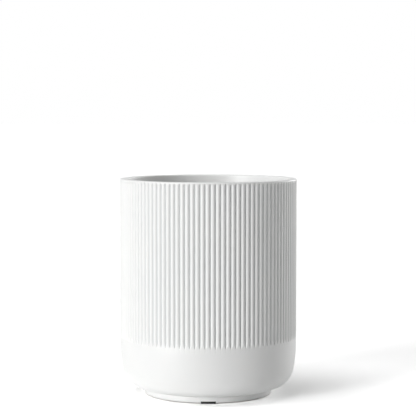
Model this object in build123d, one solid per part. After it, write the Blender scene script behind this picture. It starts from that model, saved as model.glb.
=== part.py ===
"""A ribbed ceramic utensil crock on three elastomer feet.

Frame: millimetres, +Z up, origin on the surface it stands on, on the crock's axis. The front is -Y.
"""

import os

from build123d import *
from math import acos, asin, cos, degrees, pi, radians, sin, sqrt, tan

# Driving dimensions, in millimetres unless the name says otherwise
overall_height = 183.0
body_radius = 75.0
wall = 6.5
floor_thickness = 6.0
rim_rounding = 1.2

# Outside of the base: a tight arc under the wall, then a long flat one that meets the wall higher up
base_corner_radius = 18.0
base_flare_radius = 120.0
base_flare_top = 43.4
inner_corner_radius = 20.0

# Reeded wall: the ribs stand between grooves cut into the plain cylinder
rib_count = 112
groove_phase = 0.42
groove_depth = 1.6
groove_floor_radius = 0.3
rib_edge_radius = 1.85
rib_edge_break = 0.06
groove_top_below_rim = 1.1
groove_bottom_height = 48.0
groove_top_runout_centre_out = 0.8
groove_bottom_runout_radius = 8.0
groove_tool_overreach = 0.3

# Foot ring under the base: a hollow rounding joins it to the start of the base corner
foot_crease_rounding = 1.2
foot_ring_width = 6.0
foot_ring_height = 5.7
foot_ring_rounding = 1.2
recess_depth = 3.5

# Feet, bonded in pockets cut across the foot ring; the angle turns each one from the front, anticlockwise
foot_angles = {"foot_pad_front": 0, "foot_pad_rear_right": 120, "foot_pad_rear_left": 240}
foot_stand_off = 0.5
pocket_width = 12.4
pocket_height = 1.5
pocket_draft_degrees = 45.0
pocket_corner_radius = 0.5
foot_edge_radius = 0.3

# Clearances
foot_end_clearance = 0.25

# Worked out from the sizes above
groove_top_runout_radius = groove_depth + groove_top_runout_centre_out
crease_height = foot_stand_off + foot_ring_height
arc_gap = base_flare_radius - base_corner_radius
flare_turn = asin((base_flare_top - base_corner_radius - crease_height) / arc_gap)
base_corner_centre = body_radius - base_flare_radius + arc_gap * cos(flare_turn)
foot_ring_radius = base_corner_centre - foot_crease_rounding
recess_ceiling = foot_stand_off + recess_depth
inner_floor = recess_ceiling + floor_thickness
ring_inner_radius = foot_ring_radius - foot_ring_width
inner_radius = body_radius - wall
pocket_top = foot_stand_off + pocket_height


def crock_outline():
    """Half section of the crock in the XZ plane, before grooves and pockets."""
    join = (
        base_corner_centre + base_corner_radius * cos(flare_turn),
        crease_height + base_corner_radius * (1 - sin(flare_turn)),
    )
    with BuildSketch(Plane.XZ) as section:
        with BuildLine():
            Line((0, recess_ceiling), (ring_inner_radius, recess_ceiling))
            Line((ring_inner_radius, recess_ceiling), (ring_inner_radius, foot_stand_off + foot_ring_rounding))
            inner_edge = RadiusArc(
                (ring_inner_radius, foot_stand_off + foot_ring_rounding),
                (ring_inner_radius + foot_ring_rounding, foot_stand_off),
                -foot_ring_rounding,
            )
            Line(inner_edge @ 1, (foot_ring_radius - foot_ring_rounding, foot_stand_off))
            outer_edge = RadiusArc(
                (foot_ring_radius - foot_ring_rounding, foot_stand_off),
                (foot_ring_radius, foot_stand_off + foot_ring_rounding),
                -foot_ring_rounding,
            )
            Line(outer_edge @ 1, (foot_ring_radius, crease_height - foot_crease_rounding))
            crease = RadiusArc(
                (foot_ring_radius, crease_height - foot_crease_rounding),
                (base_corner_centre, crease_height),
                foot_crease_rounding,
            )
            corner = RadiusArc(crease @ 1, join, -base_corner_radius)
            flare = RadiusArc(corner @ 1, (body_radius, base_flare_top), -base_flare_radius)
            Line(flare @ 1, (body_radius, overall_height - rim_rounding))
            rim_outer = RadiusArc(
                (body_radius, overall_height - rim_rounding),
                (body_radius - rim_rounding, overall_height),
                -rim_rounding,
            )
            Line(rim_outer @ 1, (inner_radius + rim_rounding, overall_height))
            rim_inner = RadiusArc(
                (inner_radius + rim_rounding, overall_height),
                (inner_radius, overall_height - rim_rounding),
                -rim_rounding,
            )
            Line(rim_inner @ 1, (inner_radius, inner_floor + inner_corner_radius))
            inner_corner = RadiusArc(
                (inner_radius, inner_floor + inner_corner_radius),
                (inner_radius - inner_corner_radius, inner_floor),
                inner_corner_radius,
            )
            Line(inner_corner @ 1, (0, inner_floor))
            Line((0, inner_floor), (0, recess_ceiling))
        make_face()
    return section.sketch


def groove_section():
    """Cross-section of one groove at the +X side, in the XY plane: a hollow floor between two rounded edges."""
    reach = groove_floor_radius + rib_edge_radius
    depth = groove_depth + rib_edge_break
    half_width = sqrt(reach**2 - (reach - depth) ** 2)
    slope = acos((reach - depth) / reach)
    surface = asin((rib_edge_radius - rib_edge_break) / rib_edge_radius)
    floor = body_radius - groove_depth
    floor_centre = floor + groove_floor_radius
    edge_centre = body_radius + rib_edge_break - rib_edge_radius
    outside = body_radius + groove_tool_overreach

    def on_floor(angle):
        return (floor_centre - groove_floor_radius * cos(angle), groove_floor_radius * sin(angle))

    def on_edge(angle, side):
        across = half_width - rib_edge_radius * cos(angle)
        return (edge_centre + rib_edge_radius * sin(angle), side * across)

    meeting = pi / 2 - slope
    between = (meeting + surface) / 2
    with BuildSketch(Plane.XY) as section:
        with BuildLine():
            ThreePointArc(on_floor(-slope), on_floor(0), on_floor(slope))
            right = ThreePointArc(on_floor(slope), on_edge(between, 1), on_edge(surface, 1))
            Line(right @ 1, (outside, (right @ 1).Y))
            Line((outside, (right @ 1).Y), (outside, -(right @ 1).Y))
            left = ThreePointArc(on_edge(surface, -1), on_edge(between, -1), on_floor(-slope))
            Line((outside, -(right @ 1).Y), left @ 0)
        make_face()
    return section.sketch


def groove_tool():
    """One groove: straight for most of the wall, and swung out of it on a tight arc at the top and a long one below."""
    section = groove_section()
    floor = body_radius - groove_depth

    def runout(radius):
        return acos(1 - groove_depth / radius)

    top_angle = runout(groove_top_runout_radius)
    bottom_angle = runout(groove_bottom_runout_radius)
    straight_top = overall_height - groove_top_below_rim - groove_top_runout_radius * sin(top_angle)
    straight_bottom = groove_bottom_height + groove_bottom_runout_radius * sin(bottom_angle)
    straight = extrude(Pos(0, 0, straight_bottom) * section, amount=straight_top - straight_bottom)
    top_axis = Axis((floor + groove_top_runout_radius, 0, straight_top), (0, 1, 0))
    bottom_axis = Axis((floor + groove_bottom_runout_radius, 0, straight_bottom), (0, -1, 0))
    top = revolve(Pos(0, 0, straight_top) * section, axis=top_axis, revolution_arc=degrees(top_angle) + 2)
    bottom = revolve(
        Pos(0, 0, straight_bottom) * section, axis=bottom_axis, revolution_arc=degrees(bottom_angle) + 1
    )
    return straight + top + bottom


def foot_section():
    """Radial view shared by a foot and its pocket: upright below the ring, leaning in above, rounded on top."""
    lean = pocket_height * tan(radians(pocket_draft_degrees))
    with BuildSketch(Plane.XZ) as section:
        with BuildLine():
            Polyline(
                (-pocket_width / 2, 0),
                (-pocket_width / 2, foot_stand_off),
                (-pocket_width / 2 + lean, pocket_top),
                (pocket_width / 2 - lean, pocket_top),
                (pocket_width / 2, foot_stand_off),
                (pocket_width / 2, 0),
                close=True,
            )
        make_face()
        fillet(section.vertices().group_by(Axis.Y)[-1], pocket_corner_radius)
    return section.sketch


def across_ring():
    """The front foot's section run right across the foot ring, past both of its walls."""
    return Pos(0, foot_ring_width - ring_inner_radius, 0) * extrude(foot_section(), amount=3 * foot_ring_width)


def foot(angle):
    """A foot: it fills its pocket up to the roof and between the flanks, and stands proud of the ring below."""
    outside = Cylinder(foot_ring_radius - foot_end_clearance, overall_height)
    inside = Cylinder(ring_inner_radius + foot_end_clearance, overall_height)
    pad = across_ring() & (outside - inside)
    pad = fillet(pad.faces().sort_by(Axis.Z)[0].edges(), foot_edge_radius)
    return Rot(0, 0, angle) * pad


def crock():
    """The ceramic body: turned, then pocketed for its feet and grooved."""
    body = revolve(crock_outline(), axis=Axis.Z)
    pockets = [Rot(0, 0, angle) * across_ring() for angle in foot_angles.values()]
    tool = groove_tool()
    first = groove_phase * 360 / rib_count
    grooves = [Rot(0, 0, first + 360 * n / rib_count) * tool for n in range(rib_count)]
    return body - pockets - grooves


if __name__ == "__main__":
    os.makedirs("parts", exist_ok=True)
    parts = {"crock": crock()}
    for name, angle in foot_angles.items():
        parts[name] = foot(angle)
    for name, part in parts.items():
        part.label = name
        export_step(part, f"parts/{name}.step")
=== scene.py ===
from math import asin, atan2, cos, degrees, radians, sqrt

import bmesh
import bpy
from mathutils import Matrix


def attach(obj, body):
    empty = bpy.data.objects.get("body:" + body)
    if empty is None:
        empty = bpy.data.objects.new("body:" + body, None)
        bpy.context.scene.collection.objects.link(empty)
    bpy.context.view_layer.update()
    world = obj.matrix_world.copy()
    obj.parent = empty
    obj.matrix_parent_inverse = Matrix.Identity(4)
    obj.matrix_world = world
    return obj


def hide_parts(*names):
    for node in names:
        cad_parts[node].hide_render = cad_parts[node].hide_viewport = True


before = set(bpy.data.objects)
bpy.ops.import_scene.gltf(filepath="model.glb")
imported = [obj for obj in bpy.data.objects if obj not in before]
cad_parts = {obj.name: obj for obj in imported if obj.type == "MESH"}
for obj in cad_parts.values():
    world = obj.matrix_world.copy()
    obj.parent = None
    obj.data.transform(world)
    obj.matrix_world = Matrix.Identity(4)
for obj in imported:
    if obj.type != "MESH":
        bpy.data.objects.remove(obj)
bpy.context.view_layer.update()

# Crock: one piece of stoneware, pressed and turned, glazed white inside and out and fired.
# Close upright ribs stand between grooves that run out under the rim and above the base,
# and it stands on a low turned ring. All sizes are in millimetres.
mm = 0.001
body_radius = 75.0
inner_radius = 68.5
overall_height = 183.0
inner_floor = 10.0
inner_corner = 20.0
rim_rounding = 1.2
flare_radius = 120.0
flare_top = 43.4
corner_radius = 18.0
crease_height = 6.2
ring_crease = 1.2
ring_width = 6.0
ring_bottom = 0.5
ring_rounding = 1.2
recess_ceiling = 4.0
recess_fillet = 0.8

rib_count = 112
groove_phase = 0.42
groove_depth = 1.6
groove_top = 181.9
groove_top_runout = 2.4
groove_bottom = 48.0
groove_bottom_runout = 8.0
# Half of one groove's section: how far round from its middle, in rib pitches, and how deep it is there.
groove_section = ((0.0, 1.6), (0.068, 1.38), (0.115, 0.92), (0.19, 0.51), (0.30, 0.15), (0.5, 0.0))

# The base turns in from the wall on a long arc and then a tight one, and the ring hangs where that one ends.
rim_start = overall_height - rim_rounding
flare_turn = degrees(asin((flare_top - corner_radius - crease_height) / (flare_radius - corner_radius)))
corner_centre = body_radius - flare_radius + (flare_radius - corner_radius) * cos(radians(flare_turn))
ring_outer = corner_centre - ring_crease
ring_inner = ring_outer - ring_width
straight_top = groove_top - sqrt(2 * groove_top_runout * groove_depth - groove_depth**2)
straight_bottom = groove_bottom + sqrt(2 * groove_bottom_runout * groove_depth - groove_depth**2)


def line_to(r, z):
    """Draws the section's edge on from the selected point, straight to radius r and height z."""
    mesh = bmesh.from_edit_mesh(bpy.context.object.data)
    tip = next(v for v in mesh.verts if v.select)
    step = (r * mm - tip.co.x, 0, z * mm - tip.co.z)
    bpy.ops.mesh.extrude_region_move(TRANSFORM_OT_translate={"value": step})


def arc_round(r, z, turn, steps):
    """Draws the edge on as an arc about radius r and height z, anticlockwise where the turn is positive."""
    bpy.ops.mesh.spin(steps=steps, angle=radians(turn), center=(r * mm, 0, z * mm), axis=(0, 1, 0))


# The section is drawn from the middle of the floor up the inside, over the rim, down the outside and under.
# The broad flats of floor, wall and recess are each broken once, so that no face is a long sliver.
floor_break = 24.0
wall_break = 100.0
recess_break = 20.0
bpy.ops.object.select_all(action="DESELECT")
bpy.ops.mesh.primitive_plane_add(size=mm)
crock = bpy.context.object
crock.name = "crock_body"
bpy.ops.object.mode_set(mode="EDIT")
bpy.ops.mesh.merge(type="CENTER")
bpy.ops.transform.translate(value=(0, 0, inner_floor * mm))
line_to(floor_break, inner_floor)
line_to(inner_radius - inner_corner, inner_floor)
arc_round(inner_radius - inner_corner, inner_floor + inner_corner, turn=90, steps=10)
line_to(inner_radius, wall_break)
line_to(inner_radius, rim_start)
arc_round(inner_radius + rim_rounding, rim_start, turn=-90, steps=6)
line_to(body_radius - rim_rounding, overall_height)
arc_round(body_radius - rim_rounding, rim_start, turn=-90, steps=6)
for share in (0.3, 0.6, 0.85, 1.0):
    line_to(body_radius, rim_start + (straight_top - rim_start) * share)
line_to(body_radius, straight_bottom)
runout_rows = 10
for row in range(1, runout_rows + 1):
    line_to(body_radius, straight_bottom + (groove_bottom - straight_bottom) * row / runout_rows)
line_to(body_radius, flare_top)
arc_round(body_radius - flare_radius, flare_top, turn=-flare_turn, steps=6)
arc_round(corner_centre, crease_height + corner_radius, turn=flare_turn - 90, steps=14)
arc_round(ring_outer + ring_crease, crease_height - ring_crease, turn=90, steps=5)
line_to(ring_outer, ring_bottom + ring_rounding)
arc_round(ring_outer - ring_rounding, ring_bottom + ring_rounding, turn=-90, steps=4)
line_to(ring_inner + ring_rounding, ring_bottom)
arc_round(ring_inner + ring_rounding, ring_bottom + ring_rounding, turn=-90, steps=4)
line_to(ring_inner, recess_ceiling - recess_fillet)
arc_round(ring_inner - recess_fillet, recess_ceiling - recess_fillet, turn=90, steps=3)
line_to(recess_break, recess_ceiling)
line_to(0, recess_ceiling)

# One rib pitch is turned from crest to crest.
pitch = 360 / rib_count
shares = [share for share, depth in groove_section]
steps = [b - a for a, b in zip(shares, shares[1:])]
bpy.ops.mesh.select_all(action="SELECT")
for step in steps[::-1] + steps:
    bpy.ops.mesh.spin(steps=1, angle=radians(step * pitch), center=(0, 0, 0), axis=(0, 0, 1))


def pressed_radius(z, depth):
    """The wall's radius at height z in a groove of this depth, which fades out along the two run-outs."""
    above = max(0.0, z - straight_top)
    below = max(0.0, straight_bottom - z)
    rise = groove_top_runout - sqrt(groove_top_runout**2 - above**2)
    rise += groove_bottom_runout - sqrt(groove_bottom_runout**2 - below**2)
    return body_radius - max(0.0, depth - rise)


# The groove is pressed in along the middle of the pitch: each pair of points at its depth, row by row.
mid_wall = (inner_radius + body_radius) / 2
share_slack = 0.01
height_slack = 0.001
mesh = bmesh.from_edit_mesh(crock.data)
wall_rows = sorted({
    round(v.co.z / mm, 4) for v in mesh.verts
    if v.co.xy.length > mid_wall * mm and groove_bottom < v.co.z / mm < groove_top
})
for share, depth in groove_section:
    for z in wall_rows:
        target = pressed_radius(z, depth)
        found = []
        for v in bmesh.from_edit_mesh(crock.data).verts:
            turned = -degrees(atan2(v.co.y, v.co.x)) / pitch - 0.5
            here = abs(abs(turned) - share) < share_slack and abs(v.co.z / mm - z) < height_slack
            if here and v.co.xy.length > max(mid_wall, target + height_slack / 10) * mm:
                found.append(v)
        if found:
            bpy.ops.mesh.select_all(action="DESELECT")
            for v in found:
                v.select_set(True)
            scale = target * mm / found[0].co.xy.length
            bpy.ops.transform.resize(value=(scale, scale, 1), center_override=(0, 0, 0))

# The finished pitch is copied round the axis, and the copies are joined into one closed skin.
bpy.ops.mesh.select_all(action="SELECT")
bpy.ops.mesh.spin(
    steps=rib_count - 1, angle=radians(360 - pitch), dupli=True, center=(0, 0, 0), axis=(0, 0, 1)
)
bpy.ops.mesh.select_all(action="SELECT")
bpy.ops.mesh.remove_doubles(threshold=0.001 * mm)
bpy.ops.mesh.normals_make_consistent(inside=False)
bpy.ops.object.mode_set(mode="OBJECT")
crock.rotation_euler.z = radians((groove_phase + 0.5) * pitch)
bpy.ops.object.transform_apply(location=True, rotation=True, scale=True)


def add_node(material, kind, settings={}, links={}):
    """Adds a node. Settings holds values for its fields and sockets, links the output that feeds a socket."""
    node = material.node_tree.nodes.new(kind)
    for name, value in settings.items():
        if hasattr(node, str(name)):
            setattr(node, name, value)
        else:
            node.inputs[name].default_value = value
    for name, output in links.items():
        material.node_tree.links.new(node.inputs[name], output)
    return node


def hex_colour(code):
    """An sRGB hex colour as the linear colour that the shader takes."""
    parts = [int(code[i:i + 2], 16) / 255 for i in (0, 2, 4)]
    return (*[p / 12.92 if p <= 0.04045 else ((p + 0.055) / 1.055) ** 2.4 for p in parts], 1.0)


# Satin white glaze over stoneware: opaque, smooth to the hand, with a broad dull sheen and no sharp gleam.
# The grooves are painted a little darker and cooler as painted shade, and the glaze is wiped off under the
# ring, where bare clay shows.
# A Mix node's colours go in at sockets 6 and 7 and come out at 2, its plain numbers at 2 and 3, and out at 0.
glaze = bpy.data.materials.new("satin_white_glaze")
glaze.use_nodes = True
glaze.node_tree.nodes.clear()
place = add_node(glaze, "ShaderNodeTexCoord").outputs["Object"]
height = add_node(glaze, "ShaderNodeSeparateXYZ", links={0: place}).outputs["Z"]
level_place = add_node(
    glaze, "ShaderNodeVectorMath", {"operation": "MULTIPLY", 1: (1.0, 1.0, 0.0)}, {0: place}
).outputs[0]
radius = add_node(glaze, "ShaderNodeVectorMath", {"operation": "LENGTH"}, {0: level_place}).outputs["Value"]

# Painted shade in the grooves: outside, above the smooth band, and more the deeper the surface lies under the
# crests.
groove_shade_starts = 0.2
outer_skin = 2.0
groove_shade_by_depth = add_node(
    glaze, "ShaderNodeMapRange",
    {"interpolation_type": "SMOOTHSTEP", "From Min": (body_radius - groove_shade_starts) * mm,
     "From Max": (body_radius - groove_depth) * mm},
    {"Value": radius},
).outputs[0]
above_band = add_node(
    glaze, "ShaderNodeMath", {"operation": "GREATER_THAN", 1: groove_bottom * mm}, {0: height}
).outputs[0]
outside = add_node(
    glaze, "ShaderNodeMath", {"operation": "GREATER_THAN", 1: (body_radius - outer_skin) * mm}, {0: radius}
).outputs[0]
ribbed = add_node(glaze, "ShaderNodeMath", {"operation": "MULTIPLY"}, {0: above_band, 1: outside}).outputs[0]
painted_groove_shade = add_node(glaze, "ShaderNodeMath", {"operation": "MULTIPLY"}, {0: groove_shade_by_depth, 1: ribbed}).outputs[0]

# Faint clouds, each a few centimetres across, vary the glaze's tone and its gloss.
cloud_size = 28.0
cloud = add_node(
    glaze, "ShaderNodeTexNoise", {"Scale": 1 / (cloud_size * mm), "Detail": 3.0, "Roughness": 0.5},
    {"Vector": place},
).outputs["Fac"]
glaze_tone = add_node(
    glaze, "ShaderNodeMix", {"data_type": "RGBA", 6: hex_colour("F5F5F3"), 7: hex_colour("F1F2F2")},
    {0: cloud},
).outputs[2]
# The glaze is painted a little darker and cooler down in the grooves: painted shade.
glaze_and_groove_shade = add_node(
    glaze, "ShaderNodeMix", {"data_type": "RGBA", 7: hex_colour("EEF0F0")}, {0: painted_groove_shade, 6: glaze_tone}
).outputs[2]
satin = add_node(glaze, "ShaderNodeMapRange", {"To Min": 0.34, "To Max": 0.44}, {"Value": cloud}).outputs[0]

# The glaze stops at a wavering line where it was wiped off the ring.
wiped_from = 0.55
wiped_waver = 0.5
waver_size = 4.0
waver = add_node(
    glaze, "ShaderNodeTexNoise", {"Scale": 1 / (waver_size * mm), "Detail": 2.0}, {"Vector": place}
).outputs["Fac"]
wiped_height = add_node(
    glaze, "ShaderNodeMath", {"operation": "MULTIPLY_ADD", 1: wiped_waver * mm, 2: wiped_from * mm},
    {0: waver},
).outputs[0]
bare = add_node(glaze, "ShaderNodeMath", {"operation": "LESS_THAN"}, {0: height, 1: wiped_height}).outputs[0]

# Bare stoneware, fired dry. Its grit is about 0.3 mm and is drawn coarser, so that it shows.
grit_size = 0.9
clay_roughness = 0.85
grit = add_node(
    glaze, "ShaderNodeTexNoise", {"Scale": 1 / (grit_size * mm), "Detail": 4.0, "Roughness": 0.7},
    {"Vector": place},
).outputs["Fac"]
clay_colour = add_node(
    glaze, "ShaderNodeMix", {"data_type": "RGBA", 6: hex_colour("E3E0DA"), 7: hex_colour("CFCBC3")},
    {0: grit},
).outputs[2]

# The glaze has a soft orange peel a few microns high, and the clay the same height of grit.
peel_size = 2.2
peel_height = 0.006
peel = add_node(
    glaze, "ShaderNodeTexNoise", {"Scale": 1 / (peel_size * mm), "Detail": 2.0, "Roughness": 0.45},
    {"Vector": place},
).outputs["Fac"]
relief = add_node(glaze, "ShaderNodeMix", {"data_type": "FLOAT"}, {0: bare, 2: peel, 3: grit}).outputs[0]
bump = add_node(
    glaze, "ShaderNodeBump", {"Strength": 1.0, "Distance": peel_height * mm}, {"Height": relief}
).outputs[0]
colour = add_node(
    glaze, "ShaderNodeMix", {"data_type": "RGBA"}, {0: bare, 6: glaze_and_groove_shade, 7: clay_colour}
).outputs[2]
roughness = add_node(
    glaze, "ShaderNodeMix", {"data_type": "FLOAT", 3: clay_roughness}, {0: bare, 2: satin}
).outputs[0]
shader = add_node(
    glaze, "ShaderNodeBsdfPrincipled", {"IOR": 1.5},
    {"Base Color": colour, "Roughness": roughness, "Normal": bump},
)
add_node(glaze, "ShaderNodeOutputMaterial", links={"Surface": shader.outputs[0]})
crock.data.materials.clear()
crock.data.materials.append(glaze)
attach(crock, "root")
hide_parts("crock")

# Feet: three moulded black silicone blocks, a third of a turn apart. Each is bonded in a pocket cut right
# across the foot ring and stands half a millimetre proud of the clay. Pads and pockets are drawn here with
# upright flanks and sharp edges, plainer than the solids, whose flanks lean in.
pad_width = 12.4
pad_top = 2.0
pad_inset = 0.25
past_ring_inside = 4.0
past_ring_outside = 3.0


def select_only(piece):
    """Leaves this piece alone selected and active, for the next operator."""
    bpy.ops.object.select_all(action="DESELECT")
    bpy.context.view_layer.objects.active = piece
    piece.select_set(True)


def pad_block(name):
    """The front pad as an upright block run right across the ring, with a seam level with its underside."""
    reach_in = ring_inner - past_ring_inside
    reach_out = ring_outer + past_ring_outside
    bpy.ops.object.select_all(action="DESELECT")
    bpy.ops.mesh.primitive_cube_add(
        size=1, location=(0, -0.5 * (reach_in + reach_out) * mm, 0.5 * pad_top * mm),
        scale=(pad_width * mm, (reach_out - reach_in) * mm, pad_top * mm),
    )
    block = bpy.context.object
    block.name = name
    bpy.ops.object.transform_apply(location=True, rotation=True, scale=True)
    bpy.ops.object.mode_set(mode="EDIT")
    bpy.ops.mesh.select_all(action="SELECT")
    bpy.ops.mesh.bisect(plane_co=(0, 0, ring_bottom * mm), plane_no=(0, 0, 1))
    bpy.ops.object.mode_set(mode="OBJECT")
    return block


def cut(piece, tool, operation):
    """Cuts one closed mesh by another and drops the tool."""
    select_only(piece)
    modifier = piece.modifiers.new("cut", "BOOLEAN")
    modifier.operation = operation
    modifier.solver = "EXACT"
    modifier.object = tool
    bpy.ops.object.modifier_apply(modifier="cut")
    bpy.data.objects.remove(tool)


def turn_about_axis(piece, angle):
    """Turns a piece made at the front round the crock's axis, anticlockwise from above, in degrees."""
    piece.rotation_euler.z = radians(angle)
    select_only(piece)
    bpy.ops.object.transform_apply(location=True, rotation=True, scale=True)


# Black silicone rubber, moulded: deep matte black with a faint dusty sheen. The mould's grain is finer than
# a tenth of a millimetre and is drawn coarser, so that it shows.
grain_size = 0.35
grain_height = 0.02
silicone = bpy.data.materials.new("black_silicone_rubber")
silicone.use_nodes = True
silicone.node_tree.nodes.clear()
place = add_node(silicone, "ShaderNodeTexCoord").outputs["Object"]
grain = add_node(
    silicone, "ShaderNodeTexNoise", {"Scale": 1 / (grain_size * mm), "Detail": 3.0}, {"Vector": place}
).outputs["Fac"]
tone = add_node(
    silicone, "ShaderNodeMix", {"data_type": "RGBA", 6: hex_colour("101010"), 7: hex_colour("1B1B1C")},
    {0: grain},
).outputs[2]
dull = add_node(silicone, "ShaderNodeMapRange", {"To Min": 0.55, "To Max": 0.72}, {"Value": grain}).outputs[0]
bump = add_node(
    silicone, "ShaderNodeBump", {"Strength": 1.0, "Distance": grain_height * mm}, {"Height": grain}
).outputs[0]
shader = add_node(
    silicone, "ShaderNodeBsdfPrincipled", {"IOR": 1.43},
    {"Base Color": tone, "Roughness": dull, "Normal": bump},
)
add_node(silicone, "ShaderNodeOutputMaterial", links={"Surface": shader.outputs[0]})

# Each pocket is cut out of the ring, and its pad is the same block trimmed just short of the ring's walls.
for node, angle in (("foot_pad_front", 0), ("foot_pad_rear_right", 120), ("foot_pad_rear_left", 240)):
    pocket = pad_block("pocket")
    turn_about_axis(pocket, angle)
    cut(crock, pocket, "DIFFERENCE")

    pad = pad_block(node + "_moulding")
    for reach, operation in ((ring_outer - pad_inset, "INTERSECT"), (ring_inner + pad_inset, "DIFFERENCE")):
        bpy.ops.mesh.primitive_cylinder_add(vertices=256, radius=reach * mm, depth=10 * pad_top * mm)
        cut(pad, bpy.context.object, operation)
    turn_about_axis(pad, angle)
    pad.data.materials.clear()
    pad.data.materials.append(silicone)
    bpy.ops.object.shade_smooth_by_angle(angle=radians(35))
    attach(pad, "root")
    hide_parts(node)

# The crock's smooth faces are shaded as such only now, so that the pockets' edges stay crisp.
select_only(crock)
bpy.ops.object.shade_smooth_by_angle(angle=radians(40))


# Floor: a wide sheet of matt white paper. What looks at it, straight or in a reflection, sees it bright
# enough to run into the white behind it, and the light that it throws back on the crock is plain paper's.
def looked_at(material):
    """1 for a ray from the camera or by way of a glossy or clear surface, 0 for light that falls on it."""
    path = add_node(material, "ShaderNodeLightPath")
    seen = path.outputs["Is Camera Ray"]
    for kind in ("Is Glossy Ray", "Is Transmission Ray"):
        seen = add_node(
            material, "ShaderNodeMath", {"operation": "ADD", "use_clamp": True},
            {0: seen, 1: path.outputs[kind]},
        ).outputs[0]
    return seen


paper_width = 40000.0
paper_as_seen = 1.9
paper = bpy.data.materials.new("white_paper_sweep")
paper.use_nodes = True
paper.node_tree.nodes.clear()
sheet = add_node(
    paper, "ShaderNodeMix",
    {"data_type": "RGBA", 6: hex_colour("F6F6F6"), 7: (paper_as_seen, paper_as_seen, paper_as_seen, 1.0)},
    {0: looked_at(paper)},
).outputs[2]
shader = add_node(paper, "ShaderNodeBsdfDiffuse", links={"Color": sheet})
add_node(paper, "ShaderNodeOutputMaterial", links={"Surface": shader.outputs[0]})
bpy.ops.mesh.primitive_plane_add(size=paper_width * mm)
floor = bpy.context.object
floor.name = "floor"
floor.data.materials.append(paper)


# Light: a low soft key from the front left, a broad one from high on the left, and two weak low ones on the
# right, one of them from behind. The white surround is only looked at and lights nothing.
def distant_lamp(name, azimuth, elevation, spread, strength):
    """A far lamp aimed at the crock, in degrees: azimuth 0 is in front and positive goes to the right."""
    lamp = bpy.data.lights.new(name, "SUN")
    lamp.angle = radians(spread)
    lamp.energy = strength
    holder = bpy.data.objects.new(name, lamp)
    holder.rotation_euler = (radians(90 - elevation), 0, radians(azimuth))
    bpy.context.collection.objects.link(holder)


distant_lamp("key", azimuth=-48, elevation=9, spread=20, strength=2.13)
distant_lamp("top", azimuth=-70, elevation=72, spread=40, strength=1.27)
distant_lamp("rear_fill", azimuth=138, elevation=7, spread=30, strength=1.3)
distant_lamp("right_fill", azimuth=95, elevation=9, spread=36, strength=0.58)

world = bpy.data.worlds.new("surround")
world.use_nodes = True
world.node_tree.nodes.clear()
sky = add_node(
    world, "ShaderNodeBackground", {"Color": (1.0, 1.0, 1.0, 1.0)}, {"Strength": looked_at(world)}
)
add_node(world, "ShaderNodeOutputWorld", links={"Surface": sky.outputs[0]})
bpy.context.scene.world = world
bpy.context.scene.view_settings.view_transform = "Standard"

# Camera: in front and well back, a little above the rim and looking slightly down, with a long lens.
camera_left = 0.27
camera_back = 1286.0
camera_height = 243.4
camera_dip = 3.813
camera_data = bpy.data.cameras.new("camera")
camera_data.lens = 131.3
camera_data.sensor_width = 36.0
camera_data.clip_end = 60.0
camera = bpy.data.objects.new("camera", camera_data)
camera.location = (-camera_left * mm, -camera_back * mm, camera_height * mm)
camera.rotation_euler = (radians(90 - camera_dip), 0, 0)
bpy.context.collection.objects.link(camera)
bpy.context.scene.camera = camera
